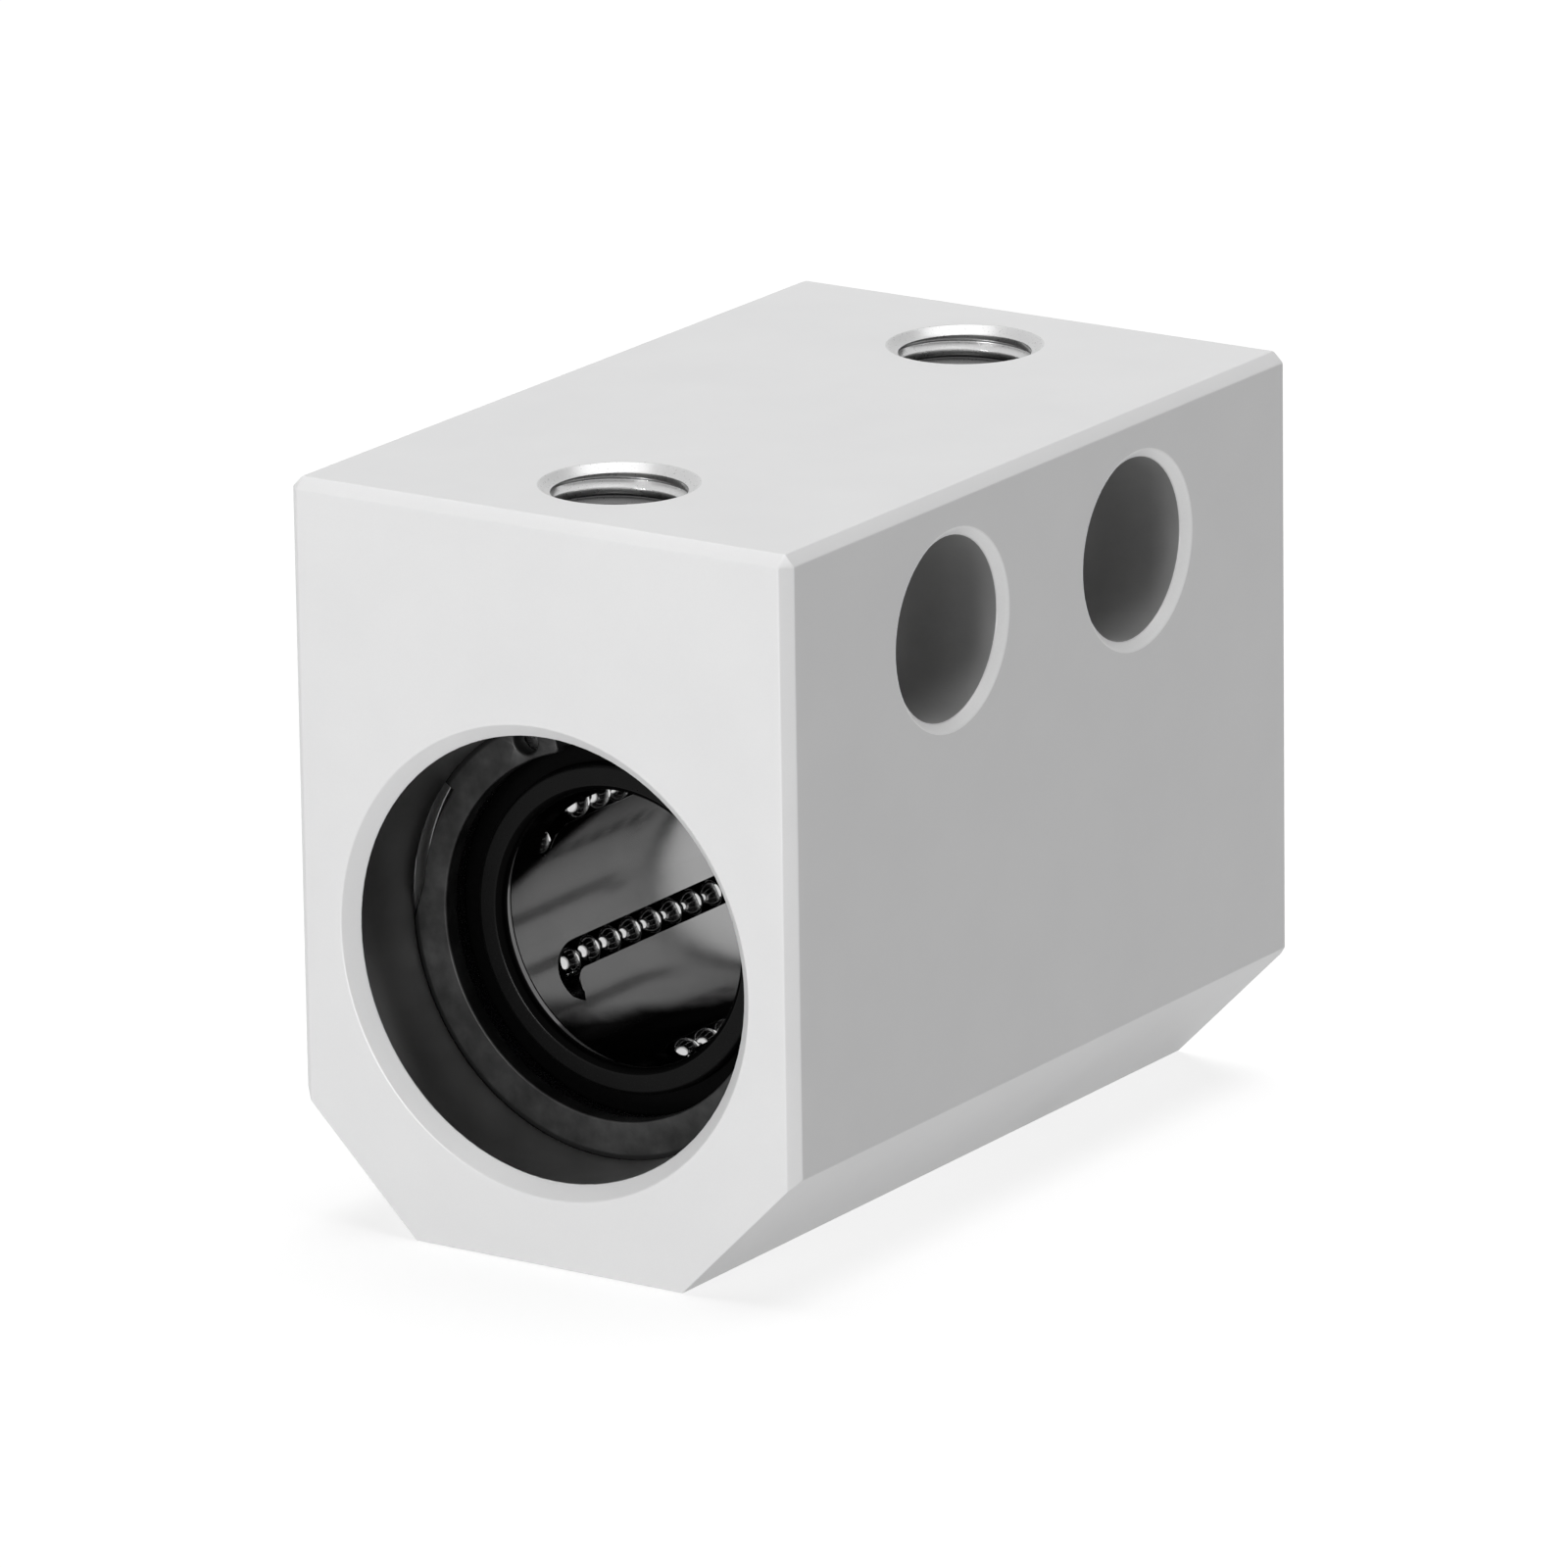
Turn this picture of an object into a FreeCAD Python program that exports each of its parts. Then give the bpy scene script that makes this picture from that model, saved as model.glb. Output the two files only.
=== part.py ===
import FreeCAD, Part
import math
import os

# Linear bearing block: an aluminium housing that holds one sealed, recirculating ball bush
# between two internal retaining rings.
#
# Frame, in millimetres: the origin is on the shaft axis at the middle of the block's length,
# +Y runs along the shaft, +X towards the side with the counterbored cross holes, +Z up.
# Angles of things round the shaft are in degrees from +X towards +Z.

Vector = FreeCAD.Vector
CENTRE = Vector(0, 0, 0)
ALONG_X = Vector(1, 0, 0)
ALONG_Y = Vector(0, 1, 0)
ALONG_Z = Vector(0, 0, 1)
SAME_PLACE = 1e-4              # two values this close are the same

# Shaft and rolling parts
SHAFT_RADIUS = 12.5
CIRCUITS = 6                   # closed tracks of balls round the shaft
FIRST_LOAD_ANGLE = 30.0        # the first row of loaded balls
BALL_RADIUS = 1.5875           # a 1/8 inch ball
BALL_SIDES = 6                 # flat sides round a ball's outline: a meshed sphere is far heavier
TRACK_LENGTH = 37.2            # straight part of a track
TURN_RADIUS = 3.0              # of a track's two half-round ends
TRACK_CLEARANCE = 0.1          # between a ball and the channel that guides it
RACE_CLEARANCE = 0.01          # between a loaded ball and its raceway
RACE_CONFORMITY = 1.04         # raceway radius over ball radius
BALL_GAP = 0.045               # between neighbouring balls
TRACK_LEAD = 1.65              # the first track's first ball lies this far before the straight
TRACK_STAGGER = 0.37           # each track's balls stand on from the last by this share of a pitch
CHANNEL_FLATS = 6              # flats that make up a channel's round floor

# Ball retainer
RETAINER_SHAFT_GAP = 0.6       # shaft to retainer
RETAINER_FLOOR = 0.6           # under the returning balls
RETAINER_FIT = 0.1             # retainer to sleeve
RETAINER_END_PLAY = 0.2        # retainer to seal
RETAINER_EDGE = 0.4            # chamfer round its ends

# Outer sleeve
SLEEVE_LENGTH = 59.0
SLEEVE_FIT = 0.01              # sleeve to housing
RELIEF_STEP = 0.125            # the relief for the turning balls over the troughs' floor
SLEEVE_WALL = 2.8              # outside the relief
SLEEVE_CHAMFER = 1.0
RELIEF_OVERLAP = 0.5           # the relief for the turning balls starts this much before the turn
SNAP_GROOVE_SPAN = 41.0        # over the two grooves round the outside
SNAP_GROOVE_WIDTH = 1.85
SNAP_GROOVE_DEPTH = 1.0

# Seals and the end rings that hold them
SEAL_RECESS = 0.6              # below the sleeve's end
SEAL_THICKNESS = 1.95
SEAL_LIP_LAND = 0.7            # width of the lip that meets the shaft
SEAL_LIP_ROUND = 0.5           # radius of its outer edge
SEAL_NECK_WALL = 2.4           # lip to the outside of the neck
SEAL_FLANGE_WIDTH = 1.2        # the flange that the end ring traps
SEAL_FLANGE_THICKNESS = 0.55
SEAL_NECK_ROUND = 0.25
END_RING_LIP = 0.4             # thickness over the seal's flange
END_RING_WALL = 0.8            # round the seal's flange

# Retaining rings
RING_THICKNESS = 1.75
RING_GROOVE_DEPTH = 1.25
RING_GROOVE_PLAY = 0.05        # each side of the ring
RING_GROOVE_FIT = 0.05         # ring to the groove's floor
RING_WIDTH = 4.65              # groove floor to the ring's inner edge
RING_RELIEF = 2.15             # the thin stretch beside each lug stands this far off the groove floor
RING_LUG_RELIEF = 0.65         # and the lugs this far
RING_GAP_ANGLE = 15.0          # all angles from the middle of the gap, which is at the top
RING_HOLE_ANGLE = 25.1
RING_LUG_ANGLE = 55.0
RING_THIN_ANGLE = 84.0
RING_SEAT_ANGLE = 100.0
RING_HOLE_RADIUS = 1.25
RING_HOLE_WALL = 1.77          # ring's inner edge to the plier hole's centre
RING_CORNER = 0.5              # rounding of the lugs' free corners

# Housing
BLOCK_LENGTH = 81.0
BLOCK_WIDTH = 52.0
BASE_WALL = 7.5                # under the sleeve
CROSS_WALL = 2.0               # sleeve to cross hole
CROSS_COVER = 12.5             # cross hole's axis to the top
FOOT_CHAMFER = 12.0            # along both lower corners
EDGE_CHAMFER = 1.0             # round the top and down the upright edges
MOUTH_CHAMFER = 1.0            # bearing seat's mouths

# Tapped holes in the top, plain at the thread's major radius
TAP_RADIUS = 6.0
TAP_END_DISTANCE = 13.0        # block's end to a tapped hole's axis
TAP_DEPTH = 13.0
TAP_COUNTERSINK = 1.0
DRILL_RADIUS = 5.25
DRILL_RUNOUT = 1.5             # drilled past the thread
DRILL_TIP_ANGLE = 118.0

# Cross holes for cap screws, counterbored from the +X side
SCREW_RADIUS = 5.5
CROSS_TAP_WALL = 1.0           # cross hole to tapped hole
HEAD_RADIUS = 8.25
HEAD_DEPTH = 11.5
HEAD_CHAMFER = 0.75
SCREW_CHAMFER = 0.5

# Radii, worked outwards from the shaft
retainer_inner = SHAFT_RADIUS + RETAINER_SHAFT_GAP
channel_radius = BALL_RADIUS + TRACK_CLEARANCE
load_radius = SHAFT_RADIUS + BALL_RADIUS
return_radius = retainer_inner + RETAINER_FLOOR + channel_radius
retainer_outer = return_radius
sleeve_bore = retainer_outer + RETAINER_FIT
relief_radius = return_radius + channel_radius + RELIEF_STEP
sleeve_outer = relief_radius + SLEEVE_WALL
seat_radius = sleeve_outer + SLEEVE_FIT
seal_neck = SHAFT_RADIUS + SEAL_NECK_WALL
seal_flange = seal_neck + SEAL_FLANGE_WIDTH
end_seat = seal_flange + END_RING_WALL
groove_radius = seat_radius + RING_GROOVE_DEPTH
ring_inner = groove_radius - RING_WIDTH

# Places along the shaft, each for the +Y end
block_end = BLOCK_LENGTH / 2
sleeve_end = SLEEVE_LENGTH / 2
ring_outside = sleeve_end + RING_THICKNESS
seal_face = sleeve_end - SEAL_RECESS
seal_back = seal_face - SEAL_THICKNESS
flange_face = seal_back + SEAL_FLANGE_THICKNESS
end_ring_face = flange_face + END_RING_LIP
retainer_end = seal_back - RETAINER_END_PLAY
track_end = TRACK_LENGTH / 2
relief_start = track_end - RELIEF_OVERLAP
relief_end = track_end + TURN_RADIUS + channel_radius + TRACK_CLEARANCE

# Heights
base_z = -(sleeve_outer + BASE_WALL)
cross_z = sleeve_outer + CROSS_WALL + SCREW_RADIUS
top_z = cross_z + CROSS_COVER
side_x = BLOCK_WIDTH / 2
tap_y = block_end - TAP_END_DISTANCE
cross_y = tap_y - TAP_RADIUS - CROSS_TAP_WALL - SCREW_RADIUS

# Ball tracks: the angle between a track's two rows, from the three sides of a triangle
row_spacing = 2 * TURN_RADIUS
row_squares = load_radius ** 2 + return_radius ** 2 - row_spacing ** 2
row_angle = math.degrees(math.acos(row_squares / (2 * load_radius * return_radius)))
turn_length = math.pi * TURN_RADIUS
loop_length = 2 * TRACK_LENGTH + 2 * turn_length
ball_pitch = 2 * BALL_RADIUS + BALL_GAP
balls_per_turn = math.pi / (2 * math.asin(ball_pitch / (2 * TURN_RADIUS)))
balls_per_track = int(2 * TRACK_LENGTH / ball_pitch + 2 * balls_per_turn)


def polar(radius, angle, y=0.0):
    """A point round the shaft, with the angle in degrees from +X towards +Z."""
    turn = math.radians(angle)
    return Vector(radius * math.cos(turn), y, radius * math.sin(turn))


def turned(profile):
    """A solid of revolution about the shaft axis, from (radius, y) corners."""
    corners = [Vector(radius, y, 0) for radius, y in profile]
    face = Part.Face(Part.makePolygon(corners + corners[:1]))
    return face.revolve(CENTRE, ALONG_Y, 360)


def mirrored(profile):
    """A profile for the +Y half, outer corners first, carried round onto the -Y half."""
    return profile + [(radius, -y) for radius, y in reversed(profile)]


def quarter_round(radius, y, size, start, end):
    """Corners of a rounded edge in a (radius, y) profile, three flats to the quarter."""
    turns = [math.radians(start + (end - start) * step / 3) for step in range(4)]
    return [(radius + size * math.cos(turn), y + size * math.sin(turn)) for turn in turns]


def at_both_ends(shape):
    """The same piece at the front and, as its mirror image, at the back."""
    return {"back": shape, "front": shape.mirror(CENTRE, ALONG_Y)}


def round_the_shaft(shape, angle):
    """A copy turned about the shaft axis, from +X towards +Z."""
    copy = shape.copy()
    copy.rotate(CENTRE, ALONG_Y, -angle)
    return copy


def load_angle(track):
    """Where a track's row of loaded balls lies round the shaft."""
    return FIRST_LOAD_ANGLE + track * 360 / CIRCUITS


def block_blank():
    """The housing's outside: a tall block with its lower corners cut off at 45 degrees."""
    foot_x = side_x - FOOT_CHAMFER
    foot_z = base_z + FOOT_CHAMFER
    right = [(foot_x, base_z), (side_x, foot_z), (side_x, top_z)]
    left = [(-x, z) for x, z in reversed(right)]
    corners = [Vector(x, -block_end, z) for x, z in right + left]
    face = Part.Face(Part.makePolygon(corners + corners[:1]))
    block = face.extrude(ALONG_Y * BLOCK_LENGTH)
    broken = []
    for edge in block.Edges:
        first, last = edge.firstVertex().Point, edge.lastVertex().Point
        upright = abs(first.x - last.x) + abs(first.y - last.y) < SAME_PLACE
        round_top = min(first.z, last.z) > top_z - SAME_PLACE
        if upright or round_top:
            broken.append(edge)
    return block.makeChamfer(EDGE_CHAMFER, broken)


def bearing_seat_cut():
    """What is bored out of the housing: the seat, its ring grooves and its chamfered mouths."""
    groove_in = sleeve_end - RING_GROOVE_PLAY
    groove_out = ring_outside + RING_GROOVE_PLAY
    outline = [
        (seat_radius + 2 * MOUTH_CHAMFER, block_end + MOUTH_CHAMFER),
        (seat_radius, block_end - MOUTH_CHAMFER),
        (seat_radius, groove_out),
        (groove_radius, groove_out),
        (groove_radius, groove_in),
        (seat_radius, groove_in),
    ]
    axis = [(0, -block_end - MOUTH_CHAMFER), (0, block_end + MOUTH_CHAMFER)]
    return turned(mirrored(outline) + axis)


def tapped_hole_cut():
    """One tapped hole: countersink, thread at its major radius, drill run-out and drill point."""
    drill_depth = TAP_DEPTH + DRILL_RUNOUT
    tip = DRILL_RADIUS / math.tan(math.radians(DRILL_TIP_ANGLE / 2))
    outline = [
        (0, TAP_COUNTERSINK),
        (TAP_RADIUS + 2 * TAP_COUNTERSINK, TAP_COUNTERSINK),
        (TAP_RADIUS, -TAP_COUNTERSINK),
        (TAP_RADIUS, -TAP_DEPTH),
        (DRILL_RADIUS, -TAP_DEPTH),
        (DRILL_RADIUS, -drill_depth),
        (0, -drill_depth - tip),
    ]
    corners = [Vector(radius, 0, z) for radius, z in outline]
    face = Part.Face(Part.makePolygon(corners + corners[:1]))
    return face.revolve(CENTRE, ALONG_Z, 360)


def cross_hole_cut():
    """One cross hole: a cap screw's counterbore on the +X side and the clearance hole through."""
    outline = [
        (0, side_x + HEAD_CHAMFER),
        (HEAD_RADIUS + 2 * HEAD_CHAMFER, side_x + HEAD_CHAMFER),
        (HEAD_RADIUS, side_x - HEAD_CHAMFER),
        (HEAD_RADIUS, side_x - HEAD_DEPTH),
        (SCREW_RADIUS, side_x - HEAD_DEPTH),
        (SCREW_RADIUS, -side_x + SCREW_CHAMFER),
        (SCREW_RADIUS + 2 * SCREW_CHAMFER, -side_x - SCREW_CHAMFER),
        (0, -side_x - SCREW_CHAMFER),
    ]
    corners = [Vector(x, 0, radius) for radius, x in outline]
    face = Part.Face(Part.makePolygon(corners + corners[:1]))
    return face.revolve(CENTRE, ALONG_X, 360)


def housing():
    """The aluminium block with its bearing seat, tapped holes and cross holes."""
    cuts = [bearing_seat_cut()]
    for end in (-1, 1):
        cuts.append(tapped_hole_cut().translated(Vector(0, end * tap_y, top_z)))
        cuts.append(cross_hole_cut().translated(Vector(0, end * cross_y, cross_z)))
    return block_blank().cut(cuts)


def outer_sleeve():
    """The hardened sleeve: raceways over the loaded balls, troughs over the returning ones,
    a relief at each end where the balls turn, and a seat for each end ring."""
    snap_out = SNAP_GROOVE_SPAN / 2
    snap_in = snap_out - SNAP_GROOVE_WIDTH
    snap_radius = sleeve_outer - SNAP_GROOVE_DEPTH
    outside = [
        (sleeve_outer, snap_in),
        (snap_radius, snap_in),
        (snap_radius, snap_out),
        (sleeve_outer, snap_out),
        (sleeve_outer, sleeve_end - SLEEVE_CHAMFER),
        (sleeve_outer - SLEEVE_CHAMFER, sleeve_end),
    ]
    inside = [
        (end_seat, sleeve_end),
        (end_seat, seal_back),
        (sleeve_bore, seal_back),
        (sleeve_bore, relief_end),
        (relief_radius, relief_end),
        (relief_radius, relief_start),
        (sleeve_bore, relief_start),
    ]
    outside_back = [(radius, -y) for radius, y in reversed(outside)]
    inside_front = [(radius, -y) for radius, y in reversed(inside)]
    blank = turned(outside_back + outside + inside + inside_front)
    race_radius = BALL_RADIUS * RACE_CONFORMITY
    race_centre = load_radius + BALL_RADIUS + RACE_CLEARANCE - race_radius
    cuts = []
    for track in range(CIRCUITS):
        race_start = polar(race_centre, load_angle(track), -track_end)
        trough_start = polar(return_radius, load_angle(track) + row_angle, -track_end)
        cuts.append(Part.makeCylinder(race_radius, TRACK_LENGTH, race_start, ALONG_Y))
        cuts.append(Part.makeCylinder(channel_radius, TRACK_LENGTH, trough_start, ALONG_Y))
    return blank.cut(cuts)


def track_frame():
    """For the track whose loaded row is at angle 0: the middle of the loop, the direction across
    from the loaded row to the returning row, and the loop's normal, away from the shaft."""
    load_row = polar(load_radius, 0)
    return_row = polar(return_radius, row_angle)
    across = (return_row - load_row).normalize()
    return (load_row + return_row) / 2, across, ALONG_Y.cross(across)


def track_channel():
    """The channel of the track at angle 0: a round-bottomed trough that runs round the whole loop
    and is open outwards. Its floor breaks into the bore wherever balls reach the shaft, which
    gives each slot its hooked ends."""
    middle, across, outward = track_frame()
    depth = 2 * channel_radius

    def trough(centre):
        turns = [math.pi * flat / CHANNEL_FLATS for flat in range(CHANNEL_FLATS + 1)]
        floor = [centre - across * (channel_radius * math.cos(turn))
                 - outward * (channel_radius * math.sin(turn)) for turn in turns]
        rim = [floor[-1] + outward * depth, floor[0] + outward * depth, floor[0]]
        return Part.Face(Part.makePolygon(floor + rim))

    pieces = []
    for side in (-1, 1):
        start = middle + across * (side * TURN_RADIUS) - ALONG_Y * track_end
        pieces.append(trough(start).extrude(ALONG_Y * TRACK_LENGTH))
    for end in (-1, 1):
        turn_centre = middle + ALONG_Y * (end * track_end)
        start = turn_centre - across * TURN_RADIUS
        pieces.append(trough(start).revolve(turn_centre, outward, 180 * end))
    return pieces[0].multiFuse(pieces[1:]).removeSplitter()


def ball_retainer():
    """The one-piece retainer: a tube with one looped channel for each track of balls."""
    half = [
        (retainer_outer, retainer_end - RETAINER_EDGE),
        (retainer_outer - RETAINER_EDGE, retainer_end),
        (retainer_inner + RETAINER_EDGE, retainer_end),
        (retainer_inner, retainer_end - RETAINER_EDGE),
    ]
    channel = track_channel()
    channels = [round_the_shaft(channel, load_angle(track)) for track in range(CIRCUITS)]
    return turned(mirrored(half)).cut(channels)


def ball_blank():
    """One ball at the origin: flat faces with every corner on the true sphere."""
    def corners(latitude):
        height = BALL_RADIUS * math.sin(math.radians(latitude))
        radius = BALL_RADIUS * math.cos(math.radians(latitude))
        turns = [2 * math.pi * side / BALL_SIDES for side in range(BALL_SIDES)]
        return [Vector(radius * math.cos(turn), radius * math.sin(turn), height) for turn in turns]

    def flat(*points):
        return Part.Face(Part.makePolygon(list(points) + [points[0]]))

    belts = [corners(latitude) for latitude in (-45, 0, 45)]
    bottom = Vector(0, 0, -BALL_RADIUS)
    top = Vector(0, 0, BALL_RADIUS)
    faces = []
    for side in range(BALL_SIDES):
        following = (side + 1) % BALL_SIDES
        faces.append(flat(bottom, belts[0][following], belts[0][side]))
        for low, high in zip(belts, belts[1:]):
            faces.append(flat(low[side], low[following], high[following], high[side]))
        faces.append(flat(belts[-1][side], belts[-1][following], top))
    return Part.Solid(Part.Shell(faces))


def ball_place(distance):
    """A ball's centre on the track at angle 0, that far round the loop, and whether it is loaded."""
    middle, across, _ = track_frame()
    half_loop = TRACK_LENGTH + turn_length
    loaded_half = distance % loop_length < half_loop
    sense = 1 if loaded_half else -1
    along = distance % half_loop
    if along < TRACK_LENGTH:
        place = middle - across * (sense * TURN_RADIUS) + ALONG_Y * (sense * (along - track_end))
        return place, loaded_half
    turn = (along - TRACK_LENGTH) / TURN_RADIUS
    reach = ALONG_Y * (track_end + TURN_RADIUS * math.sin(turn))
    return middle - across * (sense * TURN_RADIUS * math.cos(turn)) + reach * sense, False


def next_ball(distance):
    """How far round the loop the next ball lies: one pitch away in a straight line, which on a
    turn is a chord and takes up more of the loop."""
    here = ball_place(distance)[0]
    near, far = ball_pitch, 1.5 * ball_pitch
    for _ in range(30):
        middle = (near + far) / 2
        if (ball_place(distance + middle)[0] - here).Length < ball_pitch:
            near = middle
        else:
            far = middle
    return distance + far


def track_balls(track):
    """The loaded and the returning balls of one track, as two groups of separate solids."""
    ball = ball_blank()
    distance = (track * TRACK_STAGGER % 1) * ball_pitch - TRACK_LEAD
    groups = {True: [], False: []}
    for _ in range(balls_per_track):
        place, loaded = ball_place(distance)
        groups[loaded].append(ball.translated(place))
        distance = next_ball(distance)
    compounds = [Part.makeCompound(groups[loaded]) for loaded in (True, False)]
    return [round_the_shaft(compound, load_angle(track)) for compound in compounds]


def seal():
    """A rubber seal: a lip on the shaft, a neck that shows in the end ring, and a trapped flange."""
    lip_front = seal_face - SEAL_LIP_ROUND
    neck_front = seal_face - SEAL_NECK_ROUND
    lip_centre = SHAFT_RADIUS + SEAL_LIP_ROUND
    neck_centre = seal_neck - SEAL_NECK_ROUND
    return turned(
        quarter_round(lip_centre, lip_front, SEAL_LIP_ROUND, 180, 90)
        + quarter_round(neck_centre, neck_front, SEAL_NECK_ROUND, 90, 0)
        + [
            (seal_neck, flange_face),
            (seal_flange, flange_face),
            (seal_flange, seal_back),
            (retainer_inner, seal_back),
            (SHAFT_RADIUS, lip_front - SEAL_LIP_LAND),
        ]
    )


def end_ring():
    """The steel ring pressed into the sleeve's end, whose lip traps the seal's flange."""
    return turned([
        (seal_neck, end_ring_face),
        (end_seat, end_ring_face),
        (end_seat, seal_back),
        (seal_flange, seal_back),
        (seal_flange, flange_face),
        (seal_neck, flange_face),
    ])


def retaining_ring():
    """An internal retaining ring, with its gap and plier lugs at the top. It seats in the
    housing's groove, thins beside each lug, and holds the sleeve's end."""
    def at(radius, angle):
        return polar(radius, 90 - angle, sleeve_end)

    def arc(radius, start, end):
        return Part.Arc(at(radius, start), at(radius, (start + end) / 2), at(radius, end)).toShape()

    seat_arc = groove_radius - RING_GROOVE_FIT
    lug_radius = groove_radius - RING_LUG_RELIEF
    thin_radius = groove_radius - RING_RELIEF
    gap, lug, thin, seat = RING_GAP_ANGLE, RING_LUG_ANGLE, RING_THIN_ANGLE, RING_SEAT_ANGLE
    outline = [
        Part.makeLine(at(ring_inner, gap), at(lug_radius, gap)),
        arc(lug_radius, gap, lug),
        Part.makeLine(at(lug_radius, lug), at(thin_radius, lug)),
        arc(thin_radius, lug, thin),
        Part.makeLine(at(thin_radius, thin), at(seat_arc, seat)),
        arc(seat_arc, seat, 360 - seat),
        Part.makeLine(at(seat_arc, -seat), at(thin_radius, -thin)),
        arc(thin_radius, -thin, -lug),
        Part.makeLine(at(thin_radius, -lug), at(lug_radius, -lug)),
        arc(lug_radius, -lug, -gap),
        Part.makeLine(at(lug_radius, -gap), at(ring_inner, -gap)),
        arc(ring_inner, -gap, gap - 360),
    ]
    ring = Part.Face(Part.Wire(outline)).extrude(ALONG_Y * RING_THICKNESS)
    corners = []
    for edge in ring.Edges:
        first, last = edge.firstVertex().Point, edge.lastVertex().Point
        through = abs(first.y - last.y) > RING_THICKNESS / 2
        from_top = math.degrees(math.atan2(abs(first.x), first.z))
        if through and abs(from_top - gap) < SAME_PLACE:
            corners.append(edge)
    ring = ring.makeFillet(RING_CORNER, corners)
    for side in (-1, 1):
        hole_centre = at(ring_inner + RING_HOLE_WALL, side * RING_HOLE_ANGLE)
        ring = ring.cut(Part.makeCylinder(RING_HOLE_RADIUS, RING_THICKNESS, hole_centre, ALONG_Y))
    return ring


def all_pieces():
    """Every piece of the bearing block by its node's name."""
    pieces = {
        "housing": housing(),
        "outer_sleeve": outer_sleeve(),
        "ball_retainer": ball_retainer(),
    }
    for track in range(CIRCUITS):
        loaded, returning = track_balls(track)
        pieces[f"load_balls_{track + 1}"] = loaded
        pieces[f"return_balls_{track + 1}"] = returning
    for name, make in (("seal", seal), ("end_ring", end_ring), ("retaining_ring", retaining_ring)):
        for end, shape in at_both_ends(make()).items():
            pieces[f"{name}_{end}"] = shape
    return pieces


os.makedirs("parts", exist_ok=True)
for node, shape in all_pieces().items():
    shape.exportStep(f"parts/{node}.step")
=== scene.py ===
"""Linear bearing block: its finishes, threads, rolling balls and seals, and the studio round it."""

import math

import bmesh
import bpy
from mathutils import Matrix, Vector


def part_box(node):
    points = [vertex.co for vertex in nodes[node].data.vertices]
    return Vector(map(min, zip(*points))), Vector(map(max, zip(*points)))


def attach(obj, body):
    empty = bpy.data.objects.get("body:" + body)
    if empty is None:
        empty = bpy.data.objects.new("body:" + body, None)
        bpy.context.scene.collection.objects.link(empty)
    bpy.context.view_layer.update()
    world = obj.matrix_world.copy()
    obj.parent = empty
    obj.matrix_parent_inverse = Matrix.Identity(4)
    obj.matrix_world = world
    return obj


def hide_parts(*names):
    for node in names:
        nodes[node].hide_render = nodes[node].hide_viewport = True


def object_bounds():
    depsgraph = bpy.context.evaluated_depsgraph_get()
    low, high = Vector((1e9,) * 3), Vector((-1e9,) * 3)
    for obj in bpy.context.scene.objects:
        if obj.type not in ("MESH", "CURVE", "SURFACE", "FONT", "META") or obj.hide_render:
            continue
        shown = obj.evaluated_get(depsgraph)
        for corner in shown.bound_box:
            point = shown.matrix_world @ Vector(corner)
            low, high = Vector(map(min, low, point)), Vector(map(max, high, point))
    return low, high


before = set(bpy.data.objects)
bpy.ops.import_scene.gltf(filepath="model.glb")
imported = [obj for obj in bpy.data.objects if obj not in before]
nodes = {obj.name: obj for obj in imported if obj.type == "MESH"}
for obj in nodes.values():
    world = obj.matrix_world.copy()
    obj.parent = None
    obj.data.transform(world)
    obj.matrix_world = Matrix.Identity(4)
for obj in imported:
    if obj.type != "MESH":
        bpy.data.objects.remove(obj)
cad_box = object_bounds()

MM = 0.001
ALONG_SHAFT = Vector((0, 1, 0))
UP = Vector((0, 0, 1))

# Sizes are in millimetres, and places are measured from the block's middle on the shaft's axis. A
# reach is a radius that holds all the faces that it is named for.

# The housing's bore
HALF_LENGTH = 40.5
BORE_RADIUS = 20.0
BORED_REACH = 21.5
BORED_TO = 39.15                       # how far the bored faces go towards each mouth
MOUTH_RADIUS = 21.0
MOUTH_DEPTH = 1.0
MOUTH_GROWTH = 0.3                     # how much wider and deeper the mouths are turned

# The tapped holes in its top
TAP_Y = 27.5
TAP_RADIUS = 6.0
TAP_FOOT = 27.0                        # where the thread ends, above the drilled bottom
TAP_LENGTH = 12.3
TAP_TOP = TAP_FOOT + TAP_LENGTH        # where it meets the countersink
SINK_REACH = 7.2
SINK_FOOT = 39.0                       # where the countersink ends in the frame
SINK_FROM = 38.9                       # its faces lie above this
THREAD_PITCH = 1.5
THREAD_DEPTH = 0.55
THREAD_SHIFT = 0.55                    # how far down the grooves are moved
THREAD_STEPS = 96
THREAD_GROOVE = (                      # share of a pitch, share of the depth
    (0.02, 0), (0.34, 0), (0.38, 0.06), (0.69, 0.94),
    (0.73, 1), (0.78, 1), (0.82, 0.94), (0.98, 0.06))

# The counterbored holes that cross it
CROSS_Y = 15.0
CROSS_Z = 27.5
DRILLED_REACH = 8.4
RIM_REACH = 9.2
RIM_FROM = 25.1                        # the rims' faces lie further out than this

# The bush
TRACKS = 6
BALL_RADIUS = 1.5875
LOADED_FINENESS = 3                    # the loaded balls show, and the returning ones hardly do
RETURNING_FINENESS = 2
RETAINER_BORE = 13.1
SEAL_STEPS = 128
SEAL_PROFILE = (                       # radius, depth behind the seal's outer face
    (12.5, 1.2), (12.5, 0.5), (13.0, 0), (14.65, 0), (14.9, 0.25),
    (14.9, 1.4), (16.1, 1.4), (16.1, 1.95), (13.1, 1.95))
LIP_REACH = 13.02

# Broken edges
SHARP_ANGLE = math.radians(25)
HOUSING_BREAK = 0.12
BUSH_BREAK = 0.08
RING_BREAK = 0.2
SEAL_ROUNDING = 0.2

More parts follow.
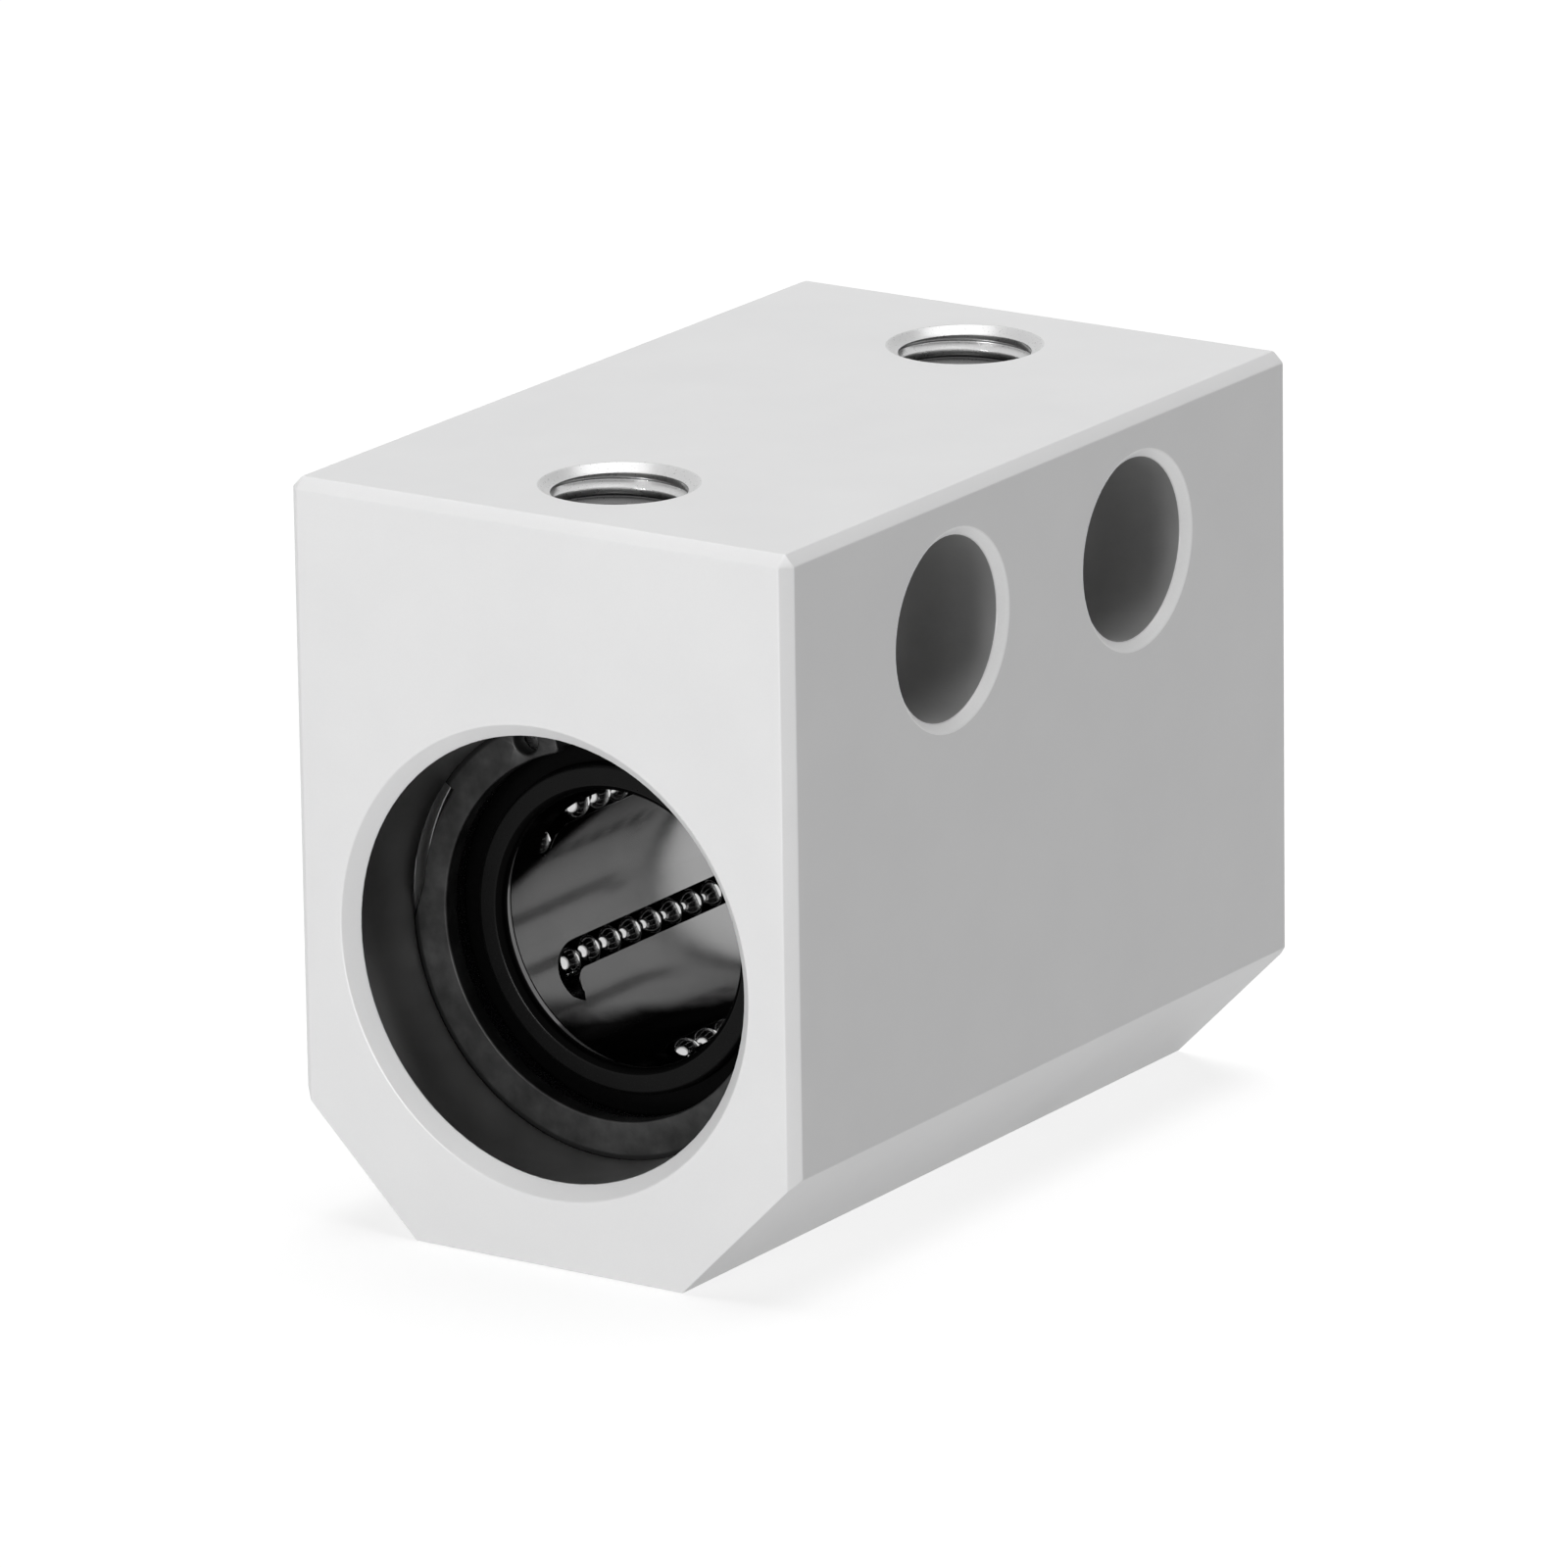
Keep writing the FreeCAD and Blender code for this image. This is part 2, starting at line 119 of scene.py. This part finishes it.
# Painted shade: the size at which it starts, and the size at which it is full
BOTTOM_SHADE = (13.2, 14.4)                    # painted shade below the shaft's axis, along the retainer's bottom
BOTTOM_SHADE_RISE = 0.12                       # how much higher it lies for each millimetre to the back
BOTTOM_SHADE_UNEVEN = 0.8
FRONT_SHADE = (27.5, 32.5)                   # painted shade over the retainer's front, above a line that climbs back
FRONT_SHADE_SLOPE = 2.9
FRONT_SHADE_UNEVEN = 2
RETAINER_END_SHADE = (0.5, 0.35)             # painted shade, from the retainer's ends
RING_EDGE_SHADE = (19.45, 19.75)              # radius, where painted shade darkens a retaining ring as it nears the bore's wall
THREAD_SHADE_TOP = (37.1, 37.9)            # height, where the thread turns from painted shade to bright metal

# The studio
CAMERA_TURN = math.radians(33.67)      # how far the camera stands round from the front
CAMERA_RISE = math.radians(16.44)
CAMERA_ROLL = 0.014
CAMERA_DISTANCE = 1.19825              # in metres
CAMERA_LENS = 310.84
CAMERA_SHIFT = (-0.010425, -0.002)
CAMERA_REACH = 20                      # in metres
SENSOR_WIDTH = 36.0
FLOOR_SIZE = 6.0                       # in metres
FLOOR_GAP = 0.05                       # keeps it just clear of the block's own underside
FLOOR_GREY = 0.35
FLOOR_GLOW = 0.33                      # the light that the floor gives off
FLOOR_WHITE = 0.44                     # how much more it glows where it is looked at
WORLD_LIGHT = 0.05
LAMPS = (                              # name, direction of the lamp, spread in degrees, irradiance
    ("front_lamp", (0.0, -1.0, 0.0), 24, 1.03),
    ("top_lamp", (0.0, 0.15, 0.985), 50, 0.70))

# A Mix node's sockets for two colours
MIX_AMOUNT, MIX_FIRST, MIX_SECOND, MIX_RESULT = 0, 6, 7, 2


# --- Shader maths and materials ---------------------------------------------------------------

class Value:
    """A shader number that takes part in plain sums."""

    def __init__(self, shading, socket):
        self.shading = shading
        self.socket = socket

    def maths(self, operation, *others):
        made = self.shading.node(
            "ShaderNodeMath", {"operation": operation}, dict(enumerate((self, *others))))
        return Value(self.shading, made.outputs[0])

    def __add__(self, other):
        return self.maths("ADD", other)

    def __sub__(self, other):
        return self.maths("SUBTRACT", other)

    def __mul__(self, other):
        return self.maths("MULTIPLY", other)

    def __neg__(self):
        return self * -1

    def __abs__(self):
        return self.maths("ABSOLUTE")

    def root(self):
        return self.maths("SQRT")

    def larger(self, other):
        return self.maths("MAXIMUM", other)


class Shading:
    """A node tree, and the one way to add a node to it."""

    def __init__(self, tree):
        self.tree = tree

    def node(self, kind, settings=None, inputs=None):
        """Any node, from its type, its settings and the values or links of its sockets."""
        made = self.tree.nodes.new(kind)
        for setting, value in (settings or {}).items():
            setattr(made, setting, value)
        for socket, value in (inputs or {}).items():
            self.feed(made.inputs[socket], value)
        return made

    def feed(self, socket, value):
        """Links a socket to another one, or sets it to a plain value."""
        if isinstance(value, Value):
            value = value.socket
        if isinstance(value, bpy.types.NodeSocket):
            self.tree.links.new(value, socket)
        else:
            socket.default_value = value

    def looked_at(self):
        """1 to the camera and in reflections, and 0 for the light that is given off."""
        path = self.node("ShaderNodeLightPath")
        camera_ray, glossy_ray = (
            Value(self, path.outputs[ray]) for ray in ("Is Camera Ray", "Is Glossy Ray"))
        return camera_ray.larger(glossy_ray)


class Finish(Shading):
    """One material: the nodes that vary it over a surface, and the shader that they feed."""

    def __init__(self, name, **fixed):
        self.material = bpy.data.materials.new(name)
        self.material.use_nodes = True
        super().__init__(self.material.node_tree)
        self.shader = self.tree.nodes["Principled BSDF"]
        for socket, value in fixed.items():
            self.shader.inputs[socket.replace("_", " ")].default_value = value
        self.place = self.node("ShaderNodeTexCoord").outputs["Object"]

    def position(self):
        """Where the point lies across, along the shaft and up, in metres."""
        apart = self.node("ShaderNodeSeparateXYZ", None, {0: self.place})
        return [Value(self, apart.outputs[axis]) for axis in "XYZ"]

    def noise(self, size, detail):
        """Noise whose blobs are about that many millimetres across, from 0 to 1."""
        made = self.node("ShaderNodeTexNoise", None, {
            "Vector": self.place, "Scale": 1 / (size * MM), "Detail": detail})
        return Value(self, made.outputs["Fac"])

    def mix(self, first, second, amount):
        """A colour between two, by a number from 0 to 1."""
        made = self.node("ShaderNodeMix", {"data_type": "RGBA"}, {
            MIX_AMOUNT: amount, MIX_FIRST: first, MIX_SECOND: second})
        return made.outputs[MIX_RESULT]

    def share(self, value, none, full):
        """From 0 to 1 as a length goes from one size to another, both in millimetres."""
        made = self.node("ShaderNodeMapRange", {"interpolation_type": "SMOOTHSTEP"}, {
            "Value": value, "From Min": none * MM, "From Max": full * MM})
        return Value(self, made.outputs[0])

    def wear(self, colour, roughness, height=None, depth=None):
        """Feeds what varies over the surface. Height is from 0 to 1, and depth its size in mm."""
        self.feed(self.shader.inputs["Base Color"], colour)
        self.feed(self.shader.inputs["Roughness"], roughness)
        if height is not None:
            bump = self.node("ShaderNodeBump", None, {"Height": height, "Distance": depth * MM})
            self.feed(self.shader.inputs["Normal"], bump.outputs[0])
        return self.material


def grey(level):
    return (level, level, level, 1)


def anodised_aluminium():
    """Fine matt anodised aluminium: a soft grain and the faintest clouding."""
    finish = Finish("anodised_aluminium", Metallic=0.12)
    grain = finish.noise(0.12, 3)
    cloud = finish.noise(9, 3)
    colour = finish.mix((0.74, 0.74, 0.745, 1), grey(0.82), cloud * 0.6 + grain * 0.4)
    return finish.wear(colour, grain * 0.12 + 0.42, grain, 0.004)


def bored_aluminium():
    """The bore as the boring tool leaves it: bright metal with fine marks."""
    finish = Finish("bored_aluminium", Metallic=1.0)
    marks = finish.noise(0.25, 2)
    cloud = finish.noise(5, 3)
    return finish.wear(
        finish.mix(grey(0.40), grey(0.54), cloud), marks * 0.1 + 0.26, marks, 0.003)


def drilled_aluminium():
    """The counterbores' and cross holes' walls: duller than the bore."""
    finish = Finish("drilled_aluminium", Metallic=0.5)
    marks = finish.noise(0.25, 2)
    cloud = finish.noise(4, 3)
    return finish.wear(
        finish.mix(grey(0.42), grey(0.50), cloud), marks * 0.1 + 0.42, marks, 0.003)


def highlighted_rim():
    """The rims of the counterbores, coloured a little lighter than the faces round them as painted
    highlight.
    """
    finish = Finish("highlighted_rim", Metallic=0.12)
    marks = finish.noise(0.2, 2)
    return finish.wear(
        finish.mix(grey(0.91), grey(0.96), marks), marks * 0.1 + 0.38, marks, 0.002)


def countersunk_aluminium():
    """The countersinks: a satin cut that shines where it turns to the light."""
    finish = Finish("countersunk_aluminium", Metallic=0.1, Specular_IOR_Level=1.0)
    marks = finish.noise(0.2, 2)
    return finish.wear(
        finish.mix(grey(0.58), grey(0.64), marks), marks * 0.1 + 0.24, marks, 0.001)


def cut_thread():
    """The cut flanks of a tapped thread: bright at its first turn, and painted shade below that."""
    finish = Finish("cut_thread", Metallic=1.0)
    marks = finish.noise(0.2, 2)
    height = finish.position()[2]
    bright = finish.mix(grey(0.56), grey(0.66), marks)
    # Painted shade down the hole, below the thread's first turn
    colour = finish.mix(grey(0.16), bright, finish.share(height, *THREAD_SHADE_TOP))
    return finish.wear(colour, marks * 0.1 + 0.24, marks, 0.003)


def ground_steel():
    """The hardened sleeve, dark with oil."""
    finish = Finish("ground_steel", Metallic=1.0)
    marks = finish.noise(0.3, 3)
    return finish.wear(
        finish.mix(grey(0.10), grey(0.16), marks), marks * 0.15 + 0.2, marks, 0.002)


def polished_ball():
    """Polished balls under a film of oil."""
    finish = Finish("polished_ball", Metallic=1.0)
    film = finish.noise(1.2, 2)
    return finish.wear(finish.mix(grey(0.56), grey(0.66), film), film * 0.05 + 0.04)


def retainer_polymer():
    """Hard black moulding, polished by the shaft. Painted shade darkens it along its bottom, over
    its front and round its rims."""
    finish = Finish("retainer_polymer", Metallic=0.95, Specular_Tint=grey(0.0))
    film = finish.noise(4, 2)
    fine = finish.noise(0.4, 2)
    _, along, up = finish.position()
    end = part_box("ball_retainer")[1].y / MM
    # Painted shade along the retainer's bottom, rising towards the back
    bottom_shade = finish.share(-up - along * BOTTOM_SHADE_RISE + film * (BOTTOM_SHADE_UNEVEN * MM), *BOTTOM_SHADE)
    # Painted shade over the retainer's front, high up
    front_shade = finish.share(up * FRONT_SHADE_SLOPE - along + film * (FRONT_SHADE_UNEVEN * MM), *FRONT_SHADE)
    # Painted shade round the retainer's ends, which dims their edge highlight
    end_shade = finish.share(abs(along), *(end - depth for depth in RETAINER_END_SHADE))
    polish = finish.mix(grey(0.35), grey(0.43), film)
    colour = finish.mix(polish, grey(0.04), bottom_shade.larger(front_shade).larger(end_shade * 0.7))
    return finish.wear(colour, film * 0.06 + 0.11, fine, 0.0005)


def seal_rubber():
    """The seals' rubber, dull black."""
    finish = Finish("seal_rubber", Specular_IOR_Level=0.09)
    skin = finish.noise(0.15, 3)
    cloud = finish.noise(3, 2)
    return finish.wear(
        finish.mix(grey(0.001), grey(0.003), cloud), skin * 0.1 + 0.24, skin, 0.001)


def shaded_lip():
    """A seal's lip: the seal's rubber with less shine, as painted shade inside the lip."""
    finish = Finish("shaded_lip", Specular_IOR_Level=0.02)
    skin = finish.noise(0.15, 3)
    return finish.wear(
        finish.mix(grey(0.001), grey(0.002), skin), skin * 0.1 + 0.2, skin, 0.001)


def blackened_steel():
    """The end rings: blackened steel, painted darker still as shade in their recess."""
    finish = Finish("blackened_steel", Specular_IOR_Level=0.02)
    skin = finish.noise(0.5, 3)
    return finish.wear(
        finish.mix(grey(0.001), grey(0.002), skin), skin * 0.1 + 0.3, skin, 0.002)


def spring_steel():
    """The retaining rings: phosphated and oiled, near black and a little blotchy, with painted
    shade along their outer edge, where they meet the bore's wall.
    """
    finish = Finish("spring_steel", Metallic=0.7)
    blotch = finish.noise(2.5, 4)
    skin = finish.noise(0.2, 3)
    across, _, up = finish.position()
    radius = (across * across + up * up).root()
    own_colour = finish.mix(grey(0.006), grey(0.085), blotch * blotch)
    # Painted shade near the outer edge, where a ring meets the bore's wall
    colour = finish.mix(own_colour, grey(0.002), finish.share(radius, *RING_EDGE_SHADE))
    return finish.wear(colour, skin * 0.2 + 0.36, skin, 0.004)


ALUMINIUM = anodised_aluminium()
BORED = bored_aluminium()
DRILLED = drilled_aluminium()
RIM_HIGHLIGHT = highlighted_rim()
COUNTERSUNK = countersunk_aluminium()
THREAD = cut_thread()
STEEL = ground_steel()
BALL = polished_ball()
RETAINER = retainer_polymer()
RUBBER = seal_rubber()
LIP = shaded_lip()
BLACK_STEEL = blackened_steel()
SPRING = spring_steel()


# --- Modelling ----------------------------------------------------------------------------------

def piece(work, name, materials, replaces=()):
    """A finished bmesh as a piece of the object."""
    mesh = bpy.data.meshes.new(name)
    for face in work.faces:
        face.smooth = True
    work.to_mesh(mesh)
    work.free()
    for material in materials:
        mesh.materials.append(material)
    made = bpy.data.objects.new(name, mesh)
    bpy.context.scene.collection.objects.link(made)
    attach(made, "root")
    if replaces:
        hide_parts(*replaces)
    return made


def merge_corners(work, distance=0.001):
    """Joins corners that lie less than that many millimetres apart."""
    bmesh.ops.remove_doubles(work, verts=work.verts, dist=distance * MM)


def merged(node):
    """A bmesh copy of a CAD node with its corners joined."""
    work = bmesh.new()
    work.from_mesh(nodes[node].data)
    merge_corners(work)
    return work


def break_edges(work, width, segments=2, clamp=False):
    """A small rounding along every sharp edge. Its width is in millimetres."""
    sharp = [edge for edge in work.edges
             if len(edge.link_faces) == 2 and edge.calc_face_angle() > SHARP_ANGLE]
    bmesh.ops.bevel(
        work, geom=sharp, offset=width * MM, offset_type="OFFSET", segments=segments,
        profile=0.5, affect="EDGES", material=-1, clamp_overlap=clamp)


def weigh_normals(made):
    """Keeps flat faces flat where a small rounding meets them."""
    modifier = made.modifiers.new("flat_faces", "WEIGHTED_NORMAL")
    modifier.weight = 100
    modifier.keep_sharp = True


def near(size, wanted):
    """Whether two sizes in millimetres are the same, apart from what facets cut off."""
    return abs(size - wanted) < 0.05


def about_shaft(point):
    """How far a point is from the shaft's axis, in millimetres."""
    return math.hypot(point.x, point.z) / MM


def about_tap(point):
    """How far a point is from the axis of the nearer tapped hole, in millimetres."""
    return math.hypot(point.x, abs(point.y) - TAP_Y * MM) / MM


def about_cross(point):
    """How far a point is from the axis of the nearer cross hole, in millimetres."""
    return math.hypot(point.z - CROSS_Z * MM, abs(point.y) - CROSS_Y * MM) / MM


def round_inside(made, radius):
    """Points the normals of a bore's wall exactly at the shaft's axis, so that it shines evenly.
    Zero normals leave the other faces' own normals as they are."""
    mesh = made.data
    normals = [(0.0, 0.0, 0.0)] * len(mesh.loops)
    for face in mesh.polygons:
        corners = [mesh.vertices[index].co for index in face.vertices]
        if all(abs(about_shaft(corner) - radius) < 0.01 for corner in corners):
            for loop in face.loop_indices:
                corner = mesh.vertices[mesh.loops[loop].vertex_index].co
                normals[loop] = Vector((-corner.x, 0, -corner.z)).normalized()
    mesh.normals_split_custom_set(normals)


def softened(node, name, material, width, bore=None):
    """A CAD node with every sharp edge broken as deburring leaves it. A bore is the radius of a
    polished wall in it."""
    work = merged(node)
    break_edges(work, width)
    made = piece(work, name, [material], [node])
    if bore is None:
        weigh_normals(made)
    else:
        round_inside(made, bore)


def open_mouths(work):
    """Turns the bore's mouths a little wider and deeper, and makes the countersinks shallower."""
    for vertex in work.verts:
        place = vertex.co
        radius = about_shaft(place)
        depth = HALF_LENGTH - abs(place.y) / MM
        if near(radius, MOUTH_RADIUS) and near(depth, 0):
            wider = 1 + MOUTH_GROWTH / radius
            place.x *= wider
            place.z *= wider
        elif near(radius, BORE_RADIUS) and near(depth, MOUTH_DEPTH):
            place.y -= math.copysign(MOUTH_GROWTH * MM, place.y)
        elif near(about_tap(place), TAP_RADIUS) and near(place.z / MM, SINK_FOOT):
            place.z = TAP_TOP * MM


def is_tap_wall(face):
    """Whether a face is part of a tapped hole's plain wall, which a thread stands in for."""
    centre = face.calc_center_median()
    return (near(about_tap(centre), TAP_RADIUS) and abs(face.normal.z) < 0.1
            and centre.z > TAP_FOOT * MM)


def housing_finish(face):
    """The finish that a face of the housing gets from where it lies."""
    centre = face.calc_center_median()
    slanted = max(abs(part) for part in face.normal) < 0.98
    if about_shaft(centre) < BORED_REACH and abs(centre.y) < BORED_TO * MM:
        return BORED
    if about_tap(centre) < SINK_REACH:
        return COUNTERSUNK if slanted and centre.z > SINK_FROM * MM else ALUMINIUM
    if about_cross(centre) < DRILLED_REACH and abs(centre.x) < RIM_FROM * MM:
        return DRILLED
    # The counterbores' rims get a lighter colour as painted highlight
    if about_cross(centre) < RIM_REACH and slanted and centre.x > RIM_FROM * MM:
        return RIM_HIGHLIGHT
    return ALUMINIUM


def housing():
    """The block, without the walls that its threads stand in for."""
    work = merged("housing")
    open_mouths(work)
    tap_walls = [face for face in work.faces if is_tap_wall(face)]
    bmesh.ops.delete(work, geom=tap_walls, context="FACES")
    break_edges(work, HOUSING_BREAK)
    work.normal_update()
    finishes = [ALUMINIUM, BORED, DRILLED, RIM_HIGHLIGHT, COUNTERSUNK]
    for face in work.faces:
        face.material_index = finishes.index(housing_finish(face))
    weigh_normals(piece(work, "housing_body", finishes, ["housing"]))


def tapped_thread(name, y):
    """The screw thread cut into a tapped hole's wall: its groove is spun up the hole, and fades out
    at the countersink and at the drilled bottom."""
    work = bmesh.new()
    corners = []
    for turn in range(-1, int(TAP_LENGTH / THREAD_PITCH) + 3):      # past both ends, to be cut off
        for along, deep in THREAD_GROOVE:
            corners.append(work.verts.new((
                (TAP_RADIUS + deep * THREAD_DEPTH) * MM, y * MM,
                (TAP_FOOT + (turn + along) * THREAD_PITCH - THREAD_SHIFT) * MM)))
    edges = [work.edges.new(pair) for pair in zip(corners, corners[1:])]
    bmesh.ops.spin(
        work, geom=corners + edges, cent=(0, y * MM, 0), axis=UP,
        dvec=UP * (THREAD_PITCH * MM / THREAD_STEPS), angle=math.tau, steps=THREAD_STEPS)
    merge_corners(work, 0.004)
    for height, cut_above in ((TAP_TOP, True), (TAP_FOOT, False)):
        bmesh.ops.bisect_plane(
            work, geom=work.verts[:] + work.edges[:] + work.faces[:], dist=1e-7,
            plane_co=(0, 0, height * MM), plane_no=UP,
            clear_outer=cut_above, clear_inner=not cut_above)
    for vertex in work.verts:
        out = Vector((vertex.co.x, vertex.co.y - y * MM, 0))
        from_end = min(vertex.co.z - TAP_FOOT * MM, TAP_TOP * MM - vertex.co.z)
        widest = TAP_RADIUS * MM + max(from_end, 0)
        if out.length > widest:
            out *= widest / out.length
            vertex.co.x, vertex.co.y = out.x, out.y + y * MM
    bmesh.ops.recalc_face_normals(work, faces=work.faces)
    inward = 0
    for face in work.faces:
        centre = face.calc_center_median()
        inward += face.normal.dot(Vector((0, y * MM, centre.z)) - centre)
    if inward < 0:
        bmesh.ops.reverse_faces(work, faces=work.faces)
    weigh_normals(piece(work, name, [THREAD]))


def ball_centres(node):
    """The middle of each ball in a CAD node."""
    work = merged(node)
    centres = []
    seen = set()
    for start in work.verts:
        if start in seen:
            continue
        seen.add(start)
        ball = [start]
        for vertex in ball:                # the list grows as it is walked
            for edge in vertex.link_edges:
                other = edge.other_vert(vertex)
                if other not in seen:
                    seen.add(other)
                    ball.append(other)
        centres.append(sum((vertex.co for vertex in ball), Vector()) / len(ball))
    work.free()
    return centres


def balls(node, fineness):
    """True round balls where the CAD node has flat-sided ones."""
    work = bmesh.new()
    for centre in ball_centres(node):
        bmesh.ops.create_icosphere(
            work, subdivisions=fineness, radius=BALL_RADIUS * MM,
            matrix=Matrix.Translation(centre))
    piece(work, f"round_{node}", [BALL], [node])


def seal(end, side):
    """A moulded rubber seal, turned from its profile, with its lip and shoulders rounded."""
    low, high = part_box(f"seal_{end}")
    outer_face = abs(low.y if side < 0 else high.y) / MM
    work = bmesh.new()
    corners = [work.verts.new((radius * MM, side * (outer_face - depth) * MM, 0))
               for radius, depth in SEAL_PROFILE]
    edges = [work.edges.new(pair) for pair in zip(corners, corners[1:] + corners[:1])]
    bmesh.ops.spin(
        work, geom=corners + edges, cent=(0, 0, 0), axis=ALONG_SHAFT, angle=math.tau,
        steps=SEAL_STEPS, use_merge=True)
    merge_corners(work)
    bmesh.ops.recalc_face_normals(work, faces=work.faces)
    break_edges(work, SEAL_ROUNDING, segments=4, clamp=True)
    # The lip's faces get the darker rubber, as painted shade
    for face in work.faces:
        face.material_index = int(about_shaft(face.calc_center_median()) < LIP_REACH)
    weigh_normals(
        piece(work, f"moulded_seal_{end}", [RUBBER, LIP], [f"seal_{end}"]))


housing()
softened("outer_sleeve", "sleeve", STEEL, BUSH_BREAK)
softened("ball_retainer", "retainer", RETAINER, BUSH_BREAK, RETAINER_BORE)
for end, side in (("front", -1), ("back", 1)):
    softened(f"retaining_ring_{end}", f"ring_{end}", SPRING, RING_BREAK)
    # End rings, near black: blackened steel with painted shade
    softened(
        f"end_ring_{end}", f"blackened_shaded_ring_{end}", BLACK_STEEL, BUSH_BREAK)
    seal(end, side)
    tapped_thread(f"thread_{end}", side * TAP_Y)
for track in range(1, TRACKS + 1):
    balls(f"load_balls_{track}", LOADED_FINENESS)
    balls(f"return_balls_{track}", RETURNING_FINENESS)


# --- Studio -------------------------------------------------------------------------------------

def studio_floor():
    """A white floor that the block throws a faint shadow on."""
    low = cad_box[0]
    work = bmesh.new()
    bmesh.ops.create_grid(work, x_segments=1, y_segments=1, size=FLOOR_SIZE)
    for vertex in work.verts:
        vertex.co.z = low.z - FLOOR_GAP * MM
    mesh = bpy.data.meshes.new("floor")
    work.to_mesh(mesh)
    work.free()
    floor = bpy.data.objects.new("floor", mesh)
    bpy.context.scene.collection.objects.link(floor)
    finish = Finish(
        "white_floor", Base_Color=grey(FLOOR_GREY), Roughness=0.9, Specular_IOR_Level=0.0,
        Emission_Color=grey(1))
    finish.feed(
        finish.shader.inputs["Emission Strength"], finish.looked_at() * FLOOR_WHITE + FLOOR_GLOW)
    mesh.materials.append(finish.material)


def world_light(strength):
    """Faint light from all round, from walls that are seen white."""
    world = bpy.data.worlds.new("studio")
    bpy.context.scene.world = world
    world.use_nodes = True
    shading = Shading(world.node_tree)
    background = shading.tree.nodes["Background"]
    background.inputs["Color"].default_value = grey(1)
    shading.feed(
        background.inputs["Strength"], shading.looked_at() * (1 - strength) + strength)


def soft_sun(name, towards, spread, irradiance):
    """A wide soft lamp, far off in a direction, with that irradiance on a surface that faces it."""
    lamp = bpy.data.lights.new(name, "SUN")
    lamp.angle = math.radians(spread)
    lamp.energy = irradiance * math.pi
    holder = bpy.data.objects.new(name, lamp)
    holder.rotation_mode = "QUATERNION"
    holder.rotation_quaternion = Vector(towards).to_track_quat("Z", "Y")
    bpy.context.scene.collection.objects.link(holder)


def camera():
    """A long lens that looks at the block's middle from above its front right edge."""
    turn, rise, roll = CAMERA_TURN, CAMERA_RISE, CAMERA_ROLL
    level = math.cos(rise)
    forward = Vector((-math.sin(turn) * level, math.cos(turn) * level, -math.sin(rise)))
    right = Vector((math.cos(turn), math.sin(turn), 0))
    above = right.cross(forward)
    across = right * math.cos(roll) - above * math.sin(roll)
    upward = right * math.sin(roll) + above * math.cos(roll)
    low, high = cad_box
    place = (low + high) / 2 - forward * CAMERA_DISTANCE
    turned = Matrix((across, upward, -forward)).transposed().to_4x4()
    lens = bpy.data.cameras.new("camera")
    lens.sensor_width = SENSOR_WIDTH
    lens.lens = CAMERA_LENS
    lens.shift_x, lens.shift_y = CAMERA_SHIFT
    lens.clip_end = CAMERA_REACH
    holder = bpy.data.objects.new("camera", lens)
    holder.matrix_world = Matrix.Translation(place) @ turned
    bpy.context.scene.collection.objects.link(holder)
    bpy.context.scene.camera = holder


studio_floor()
world_light(WORLD_LIGHT)
for lamp in LAMPS:
    soft_sun(*lamp)
camera()
bpy.context.scene.view_settings.view_transform = "Standard"
